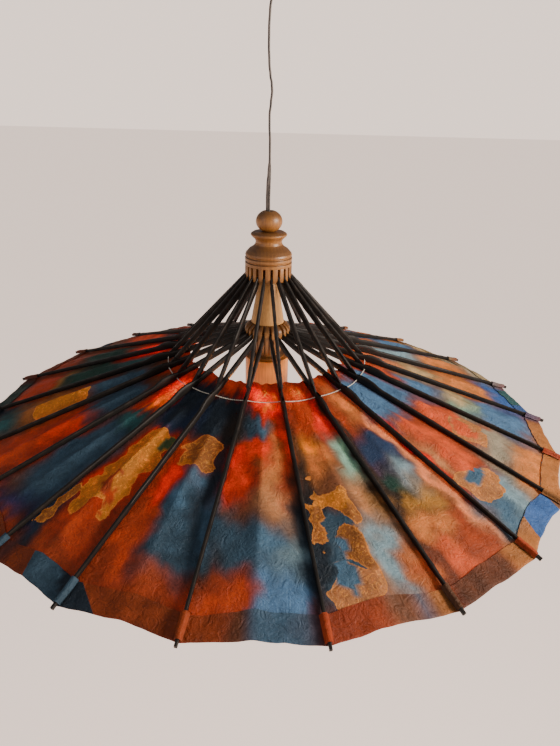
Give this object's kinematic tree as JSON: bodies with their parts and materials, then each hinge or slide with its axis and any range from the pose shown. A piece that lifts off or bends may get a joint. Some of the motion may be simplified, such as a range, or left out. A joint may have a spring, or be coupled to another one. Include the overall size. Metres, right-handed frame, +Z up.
{
  "type": "oil paper umbrella pendant lamp",
  "caption": "Hanging lamp made from an oil-paper umbrella: ribs and stretchers on slotted wooden hubs carry a painted paper shade over a bulb, on a flat cord.",
  "frame": {"origin": "centre of the ceiling rose's top face, where it meets the ceiling", "axes": "+Z up along the lamp's axis, -Y towards the front, +X to the right seen from the front; the front lies midway between two ribs"},
  "size_m": [0.8007, 0.7938, 0.5451],
  "materials": {
    "oiled_paper": "handmade paper, painted and oiled, matte with a slight sheen",
    "turned_wood": "turned and stained, satin",
    "bare_wood": "natural, smooth",
    "stained_bamboo": "split bamboo, stained black, satin",
    "bamboo_strip": "split bamboo, stained black-brown, worn along the edges",
    "dark_thread": "twisted dark cotton",
    "white_cotton": "twisted white cotton",
    "black_bakelite": "moulded, glossy",
    "frosted_glass": "frosted, lit warm white",
    "cap_metal": "rolled nickel plate",
    "cord_sheath": "flat twin flex, grey-brown",
    "rose_plastic": "moulded, satin"
  },
  "bodies": {
    "lamp": {"rose_base": "rose_plastic", "rose_cover": "rose_plastic", "cord": "cord_sheath", "cord_inside": "cord_sheath", "spacer_sleeve": "bare_wood", "lower_hub": "turned_wood", "lower_hub_thread": "dark_thread", "lamp_cup": "bare_wood", "lampholder": "black_bakelite", "canopy_paper": "oiled_paper", "joint_thread": "white_cotton"},
    "upper_hub": {"upper_hub": "turned_wood", "upper_hub_thread": "dark_thread", "finial_ball": "turned_wood"},
    "bulb": {"bulb_glass": "frosted_glass", "bulb_cap": "cap_metal"},
    "rib_01": {"rib_01": "stained_bamboo"},
    "stretcher_01": {"stretcher_01": "bamboo_strip"},
    "rib_02": {"rib_02": "stained_bamboo"},
    "stretcher_02": {"stretcher_02": "bamboo_strip"},
    "rib_03": {"rib_03": "stained_bamboo"},
    "stretcher_03": {"stretcher_03": "bamboo_strip"},
    "rib_04": {"rib_04": "stained_bamboo"},
    "stretcher_04": {"stretcher_04": "bamboo_strip"},
    "rib_05": {"rib_05": "stained_bamboo"},
    "stretcher_05": {"stretcher_05": "bamboo_strip"},
    "rib_06": {"rib_06": "stained_bamboo"},
    "stretcher_06": {"stretcher_06": "bamboo_strip"},
    "rib_07": {"rib_07": "stained_bamboo"},
    "stretcher_07": {"stretcher_07": "bamboo_strip"},
    "rib_08": {"rib_08": "stained_bamboo"},
    "stretcher_08": {"stretcher_08": "bamboo_strip"},
    "rib_09": {"rib_09": "stained_bamboo"},
    "stretcher_09": {"stretcher_09": "bamboo_strip"},
    "rib_10": {"rib_10": "stained_bamboo"},
    "stretcher_10": {"stretcher_10": "bamboo_strip"},
    "rib_11": {"rib_11": "stained_bamboo"},
    "stretcher_11": {"stretcher_11": "bamboo_strip"},
    "rib_12": {"rib_12": "stained_bamboo"},
    "stretcher_12": {"stretcher_12": "bamboo_strip"},
    "rib_13": {"rib_13": "stained_bamboo"},
    "stretcher_13": {"stretcher_13": "bamboo_strip"},
    "rib_14": {"rib_14": "stained_bamboo"},
    "stretcher_14": {"stretcher_14": "bamboo_strip"},
    "rib_15": {"rib_15": "stained_bamboo"},
    "stretcher_15": {"stretcher_15": "bamboo_strip"},
    "rib_16": {"rib_16": "stained_bamboo"},
    "stretcher_16": {"stretcher_16": "bamboo_strip"},
    "rib_17": {"rib_17": "stained_bamboo"},
    "stretcher_17": {"stretcher_17": "bamboo_strip"},
    "rib_18": {"rib_18": "stained_bamboo"},
    "stretcher_18": {"stretcher_18": "bamboo_strip"},
    "rib_19": {"rib_19": "stained_bamboo"},
    "stretcher_19": {"stretcher_19": "bamboo_strip"},
    "rib_20": {"rib_20": "stained_bamboo"},
    "stretcher_20": {"stretcher_20": "bamboo_strip"},
    "rib_21": {"rib_21": "stained_bamboo"},
    "stretcher_21": {"stretcher_21": "bamboo_strip"},
    "rib_22": {"rib_22": "stained_bamboo"},
    "stretcher_22": {"stretcher_22": "bamboo_strip"}
  },
  "joints": [
    {"name": "upper_hub_slide", "type": "slide", "parent": "lamp", "child": "upper_hub", "axis": [0, 0, 1], "range_m": [0, 0.03144], "deforming": ["canopy_paper", "joint_thread"]},
    {"name": "bulb_screw", "type": "hinge", "parent": "lamp", "child": "bulb", "pos_m": [0, 0, -0.49247], "axis": [0, 0, 1], "range_deg": [0, 900]},
    {"name": "rib_01_hinge", "type": "hinge", "parent": "lamp", "child": "rib_01", "pos_m": [0.00337, -0.02376, -0.4144], "axis": [-0.9901, -0.1403, 0], "range_deg": [0, 18.87]},
    {"name": "stretcher_01_hinge", "type": "hinge", "parent": "upper_hub", "child": "stretcher_01", "pos_m": [0.00351, -0.02475, -0.3368], "axis": [-0.9901, -0.1403, 0], "range_deg": [0, 3.22]},
    {"name": "rib_02_hinge", "type": "hinge", "parent": "lamp", "child": "rib_02", "pos_m": [0.01064, -0.02151, -0.4144], "axis": [-0.8964, -0.4432, 0], "range_deg": [0, 18.87]},
    {"name": "stretcher_02_hinge", "type": "hinge", "parent": "upper_hub", "child": "stretcher_02", "pos_m": [0.01108, -0.02241, -0.3368], "axis": [-0.8964, -0.4432, 0], "range_deg": [0, 3.22]},
    {"name": "rib_03_hinge", "type": "hinge", "parent": "lamp", "child": "rib_03", "pos_m": [0.01652, -0.01741, -0.4144], "axis": [-0.7253, -0.6884, 0], "range_deg": [0, 18.87]},
    {"name": "stretcher_03_hinge", "type": "hinge", "parent": "upper_hub", "child": "stretcher_03", "pos_m": [0.01721, -0.01813, -0.3368], "axis": [-0.7253, -0.6884, 0], "range_deg": [0, 3.22]},
    {"name": "rib_04_hinge", "type": "hinge", "parent": "lamp", "child": "rib_04", "pos_m": [0.02063, -0.01227, -0.4144], "axis": [-0.5112, -0.8594, 0], "range_deg": [0, 18.87]},
    {"name": "stretcher_04_hinge", "type": "hinge", "parent": "upper_hub", "child": "stretcher_04", "pos_m": [0.02149, -0.01278, -0.3368], "axis": [-0.5112, -0.8594, 0], "range_deg": [0, 3.22]},
    {"name": "rib_05_hinge", "type": "hinge", "parent": "lamp", "child": "rib_05", "pos_m": [0.02307, -0.0066, -0.4144], "axis": [-0.2749, -0.9615, 0], "range_deg": [0, 18.87]},
    {"name": "stretcher_05_hinge", "type": "hinge", "parent": "upper_hub", "child": "stretcher_05", "pos_m": [0.02404, -0.00687, -0.3368], "axis": [-0.2749, -0.9615, 0], "range_deg": [0, 3.22]},
    {"name": "rib_06_hinge", "type": "hinge", "parent": "lamp", "child": "rib_06", "pos_m": [0.024, -0.00046, -0.4144], "axis": [-0.0192, -0.9998, 0], "range_deg": [0, 18.87]},
    {"name": "stretcher_06_hinge", "type": "hinge", "parent": "upper_hub", "child": "stretcher_06", "pos_m": [0.02499, -0.00048, -0.3368], "axis": [-0.0192, -0.9998, 0], "range_deg": [0, 3.22]},
    {"name": "rib_07_hinge", "type": "hinge", "parent": "lamp", "child": "rib_07", "pos_m": [0.02322, 0.00609, -0.4144], "axis": [0.2536, -0.9673, 0], "range_deg": [0, 18.87]},
    {"name": "stretcher_07_hinge", "type": "hinge", "parent": "upper_hub", "child": "stretcher_07", "pos_m": [0.02418, 0.00634, -0.3368], "axis": [0.2536, -0.9673, 0], "range_deg": [0, 3.22]},
    {"name": "rib_08_hinge", "type": "hinge", "parent": "lamp", "child": "rib_08", "pos_m": [0.02045, 0.01257, -0.4144], "axis": [0.5237, -0.8519, 0], "range_deg": [0, 18.87]},
    {"name": "stretcher_08_hinge", "type": "hinge", "parent": "upper_hub", "child": "stretcher_08", "pos_m": [0.0213, 0.01309, -0.3368], "axis": [0.5237, -0.8519, 0], "range_deg": [0, 3.22]},
    {"name": "rib_09_hinge", "type": "hinge", "parent": "lamp", "child": "rib_09", "pos_m": [0.01575, 0.01811, -0.4144], "axis": [0.7547, -0.6561, 0], "range_deg": [0, 18.87]},
    {"name": "stretcher_09_hinge", "type": "hinge", "parent": "upper_hub", "child": "stretcher_09", "pos_m": [0.0164, 0.01887, -0.3368], "axis": [0.7547, -0.6561, 0], "range_deg": [0, 3.22]},
    {"name": "rib_10_hinge", "type": "hinge", "parent": "lamp", "child": "rib_10", "pos_m": [0.00973, 0.02194, -0.4144], "axis": [0.9141, -0.4054, 0], "range_deg": [0, 18.87]},
    {"name": "stretcher_10_hinge", "type": "hinge", "parent": "upper_hub", "child": "stretcher_10", "pos_m": [0.01013, 0.02285, -0.3368], "axis": [0.9141, -0.4054, 0], "range_deg": [0, 3.22]},
    {"name": "rib_11_hinge", "type": "hinge", "parent": "lamp", "child": "rib_11", "pos_m": [0.0032, 0.02379, -0.4144], "axis": [0.9911, -0.1332, 0], "range_deg": [0, 18.87]},
    {"name": "stretcher_11_hinge", "type": "hinge", "parent": "upper_hub", "child": "stretcher_11", "pos_m": [0.00333, 0.02478, -0.3368], "axis": [0.9911, -0.1332, 0], "range_deg": [0, 3.22]},
    {"name": "rib_12_hinge", "type": "hinge", "parent": "lamp", "child": "rib_12", "pos_m": [-0.00333, 0.02377, -0.4144], "axis": [0.9903, 0.1387, 0], "range_deg": [0, 18.87]},
    {"name": "stretcher_12_hinge", "type": "hinge", "parent": "upper_hub", "child": "stretcher_12", "pos_m": [-0.00347, 0.02476, -0.3368], "axis": [0.9903, 0.1387, 0], "range_deg": [0, 3.22]},
    {"name": "rib_13_hinge", "type": "hinge", "parent": "lamp", "child": "rib_13", "pos_m": [-0.00964, 0.02198, -0.4144], "axis": [0.9158, 0.4016, 0], "range_deg": [0, 18.87]},
    {"name": "stretcher_13_hinge", "type": "hinge", "parent": "upper_hub", "child": "stretcher_13", "pos_m": [-0.01004, 0.02289, -0.3368], "axis": [0.9158, 0.4016, 0], "range_deg": [0, 3.22]},
    {"name": "rib_14_hinge", "type": "hinge", "parent": "lamp", "child": "rib_14", "pos_m": [-0.01548, 0.01834, -0.4144], "axis": [0.7643, 0.6448, 0], "range_deg": [0, 18.87]},
    {"name": "stretcher_14_hinge", "type": "hinge", "parent": "upper_hub", "child": "stretcher_14", "pos_m": [-0.01612, 0.01911, -0.3368], "axis": [0.7643, 0.6448, 0], "range_deg": [0, 3.22]},
    {"name": "rib_15_hinge", "type": "hinge", "parent": "lamp", "child": "rib_15", "pos_m": [-0.02024, 0.0129, -0.4144], "axis": [0.5374, 0.8433, 0], "range_deg": [0, 18.87]},
    {"name": "stretcher_15_hinge", "type": "hinge", "parent": "upper_hub", "child": "stretcher_15", "pos_m": [-0.02108, 0.01344, -0.3368], "axis": [0.5374, 0.8433, 0], "range_deg": [0, 3.22]},
    {"name": "rib_16_hinge", "type": "hinge", "parent": "lamp", "child": "rib_16", "pos_m": [-0.02319, 0.00618, -0.4144], "axis": [0.2573, 0.9663, 0], "range_deg": [0, 18.87]},
    {"name": "stretcher_16_hinge", "type": "hinge", "parent": "upper_hub", "child": "stretcher_16", "pos_m": [-0.02416, 0.00643, -0.3368], "axis": [0.2573, 0.9663, 0], "range_deg": [0, 3.22]},
    {"name": "rib_17_hinge", "type": "hinge", "parent": "lamp", "child": "rib_17", "pos_m": [-0.02398, -0.00085, -0.4144], "axis": [-0.0354, 0.9994, 0], "range_deg": [0, 18.87]},
    {"name": "stretcher_17_hinge", "type": "hinge", "parent": "upper_hub", "child": "stretcher_17", "pos_m": [-0.02498, -0.00089, -0.3368], "axis": [-0.0354, 0.9994, 0], "range_deg": [0, 3.22]},
    {"name": "rib_18_hinge", "type": "hinge", "parent": "lamp", "child": "rib_18", "pos_m": [-0.02286, -0.00731, -0.4144], "axis": [-0.3047, 0.9524, 0], "range_deg": [0, 18.87]},
    {"name": "stretcher_18_hinge", "type": "hinge", "parent": "upper_hub", "child": "stretcher_18", "pos_m": [-0.02381, -0.00762, -0.3368], "axis": [-0.3047, 0.9524, 0], "range_deg": [0, 3.22]},
    {"name": "rib_19_hinge", "type": "hinge", "parent": "lamp", "child": "rib_19", "pos_m": [-0.02025, -0.01288, -0.4144], "axis": [-0.5365, 0.8439, 0], "range_deg": [0, 18.87]},
    {"name": "stretcher_19_hinge", "type": "hinge", "parent": "upper_hub", "child": "stretcher_19", "pos_m": [-0.0211, -0.01341, -0.3368], "axis": [-0.5365, 0.8439, 0], "range_deg": [0, 3.22]},
    {"name": "rib_20_hinge", "type": "hinge", "parent": "lamp", "child": "rib_20", "pos_m": [-0.01634, -0.01758, -0.4144], "axis": [-0.7323, 0.681, 0], "range_deg": [0, 18.87]},
    {"name": "stretcher_20_hinge", "type": "hinge", "parent": "upper_hub", "child": "stretcher_20", "pos_m": [-0.01702, -0.01831, -0.3368], "axis": [-0.7323, 0.681, 0], "range_deg": [0, 3.22]},
    {"name": "rib_21_hinge", "type": "hinge", "parent": "lamp", "child": "rib_21", "pos_m": [-0.011, -0.02133, -0.4144], "axis": [-0.8887, 0.4585, 0], "range_deg": [0, 18.87]},
    {"name": "stretcher_21_hinge", "type": "hinge", "parent": "upper_hub", "child": "stretcher_21", "pos_m": [-0.01146, -0.02222, -0.3368], "axis": [-0.8887, 0.4585, 0], "range_deg": [0, 3.22]},
    {"name": "rib_22_hinge", "type": "hinge", "parent": "lamp", "child": "rib_22", "pos_m": [-0.00424, -0.02362, -0.4144], "axis": [-0.9843, 0.1764, 0], "range_deg": [0, 18.87]},
    {"name": "stretcher_22_hinge", "type": "hinge", "parent": "upper_hub", "child": "stretcher_22", "pos_m": [-0.00441, -0.02461, -0.3368], "axis": [-0.9843, 0.1764, 0], "range_deg": [0, 3.22]}
  ],
  "couplings": [
    {"joint": "rib_01_hinge", "follows": "upper_hub_slide", "rad_per_m": 10.465},
    {"joint": "stretcher_01_hinge", "follows": "upper_hub_slide", "rad_per_m": 1.7756},
    {"joint": "rib_02_hinge", "follows": "upper_hub_slide", "rad_per_m": 10.465},
    {"joint": "stretcher_02_hinge", "follows": "upper_hub_slide", "rad_per_m": 1.7756},
    {"joint": "rib_03_hinge", "follows": "upper_hub_slide", "rad_per_m": 10.465},
    {"joint": "stretcher_03_hinge", "follows": "upper_hub_slide", "rad_per_m": 1.7756},
    {"joint": "rib_04_hinge", "follows": "upper_hub_slide", "rad_per_m": 10.465},
    {"joint": "stretcher_04_hinge", "follows": "upper_hub_slide", "rad_per_m": 1.7756},
    {"joint": "rib_05_hinge", "follows": "upper_hub_slide", "rad_per_m": 10.465},
    {"joint": "stretcher_05_hinge", "follows": "upper_hub_slide", "rad_per_m": 1.7756},
    {"joint": "rib_06_hinge", "follows": "upper_hub_slide", "rad_per_m": 10.465},
    {"joint": "stretcher_06_hinge", "follows": "upper_hub_slide", "rad_per_m": 1.7756},
    {"joint": "rib_07_hinge", "follows": "upper_hub_slide", "rad_per_m": 10.465},
    {"joint": "stretcher_07_hinge", "follows": "upper_hub_slide", "rad_per_m": 1.7756},
    {"joint": "rib_08_hinge", "follows": "upper_hub_slide", "rad_per_m": 10.465},
    {"joint": "stretcher_08_hinge", "follows": "upper_hub_slide", "rad_per_m": 1.7756},
    {"joint": "rib_09_hinge", "follows": "upper_hub_slide", "rad_per_m": 10.465},
    {"joint": "stretcher_09_hinge", "follows": "upper_hub_slide", "rad_per_m": 1.7756},
    {"joint": "rib_10_hinge", "follows": "upper_hub_slide", "rad_per_m": 10.465},
    {"joint": "stretcher_10_hinge", "follows": "upper_hub_slide", "rad_per_m": 1.7756},
    {"joint": "rib_11_hinge", "follows": "upper_hub_slide", "rad_per_m": 10.465},
    {"joint": "stretcher_11_hinge", "follows": "upper_hub_slide", "rad_per_m": 1.7756},
    {"joint": "rib_12_hinge", "follows": "upper_hub_slide", "rad_per_m": 10.465},
    {"joint": "stretcher_12_hinge", "follows": "upper_hub_slide", "rad_per_m": 1.7756},
    {"joint": "rib_13_hinge", "follows": "upper_hub_slide", "rad_per_m": 10.465},
    {"joint": "stretcher_13_hinge", "follows": "upper_hub_slide", "rad_per_m": 1.7756},
    {"joint": "rib_14_hinge", "follows": "upper_hub_slide", "rad_per_m": 10.465},
    {"joint": "stretcher_14_hinge", "follows": "upper_hub_slide", "rad_per_m": 1.7756},
    {"joint": "rib_15_hinge", "follows": "upper_hub_slide", "rad_per_m": 10.465},
    {"joint": "stretcher_15_hinge", "follows": "upper_hub_slide", "rad_per_m": 1.7756},
    {"joint": "rib_16_hinge", "follows": "upper_hub_slide", "rad_per_m": 10.465},
    {"joint": "stretcher_16_hinge", "follows": "upper_hub_slide", "rad_per_m": 1.7756},
    {"joint": "rib_17_hinge", "follows": "upper_hub_slide", "rad_per_m": 10.465},
    {"joint": "stretcher_17_hinge", "follows": "upper_hub_slide", "rad_per_m": 1.7756},
    {"joint": "rib_18_hinge", "follows": "upper_hub_slide", "rad_per_m": 10.465},
    {"joint": "stretcher_18_hinge", "follows": "upper_hub_slide", "rad_per_m": 1.7756},
    {"joint": "rib_19_hinge", "follows": "upper_hub_slide", "rad_per_m": 10.465},
    {"joint": "stretcher_19_hinge", "follows": "upper_hub_slide", "rad_per_m": 1.7756},
    {"joint": "rib_20_hinge", "follows": "upper_hub_slide", "rad_per_m": 10.465},
    {"joint": "stretcher_20_hinge", "follows": "upper_hub_slide", "rad_per_m": 1.7756},
    {"joint": "rib_21_hinge", "follows": "upper_hub_slide", "rad_per_m": 10.465},
    {"joint": "stretcher_21_hinge", "follows": "upper_hub_slide", "rad_per_m": 1.7756},
    {"joint": "rib_22_hinge", "follows": "upper_hub_slide", "rad_per_m": 10.465},
    {"joint": "stretcher_22_hinge", "follows": "upper_hub_slide", "rad_per_m": 1.7756}
  ]
}
